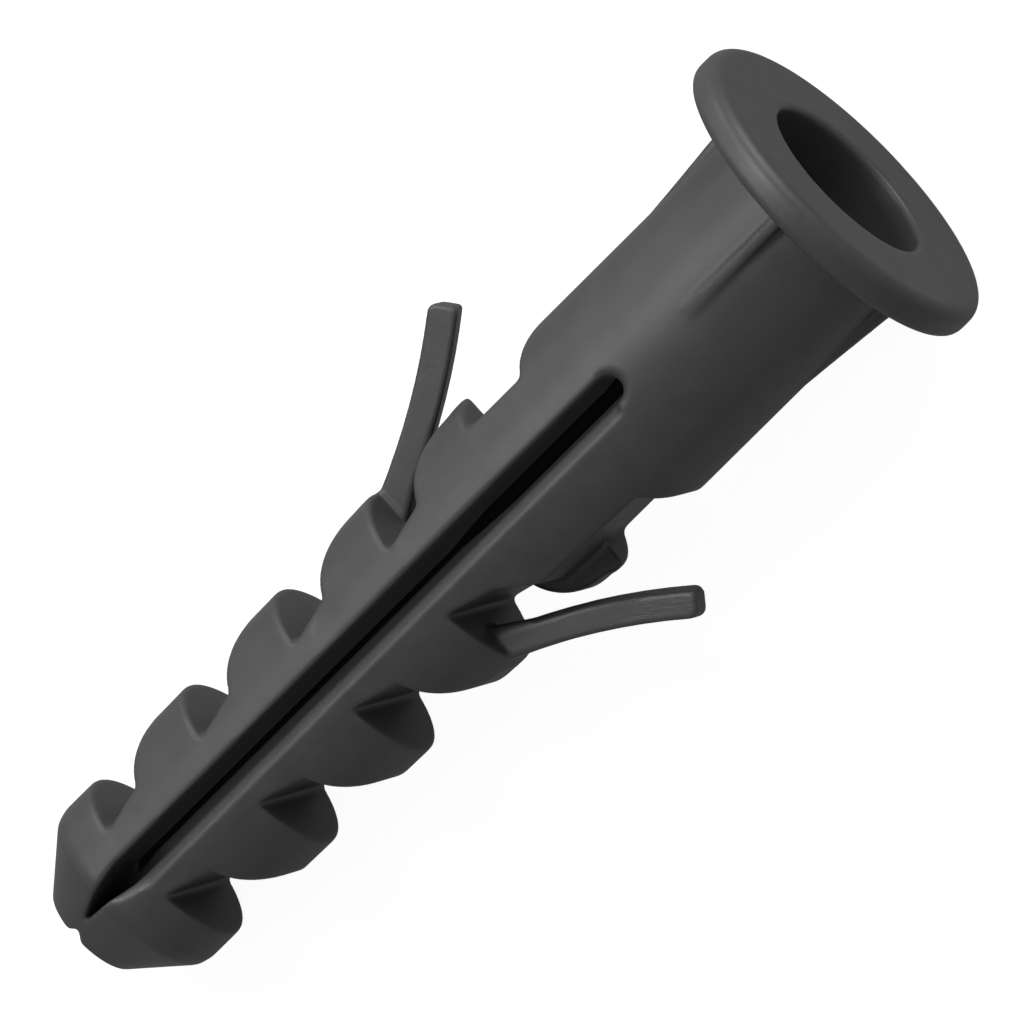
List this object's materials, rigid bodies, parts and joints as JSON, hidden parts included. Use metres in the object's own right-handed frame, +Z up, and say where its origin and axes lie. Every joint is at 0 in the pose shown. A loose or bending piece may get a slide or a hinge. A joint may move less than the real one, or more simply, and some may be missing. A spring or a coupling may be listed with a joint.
{
  "type": "wall plug",
  "caption": "Collared expansion wall plug with a split saw-toothed body, two curved locking tongues and a wide screw mouth, lying on its side.",
  "frame": {"origin": "centre of the footprint on the floor the plug lies on", "axes": "+X towards the collar, along the plug as seen from above; +Y across the plug, through the two locking tongues; +Z up, through the slot. The plug's own axis leans up by 4.48 degrees towards the collar, because the collar is wider than the body."},
  "size_m": [0.0494, 0.0182, 0.016],
  "materials": {
    "nylon": "satin moulded nylon, dark grey"
  },
  "bodies": {
    "root": {"wall_plug": "nylon"}
  },
  "joints": []
}
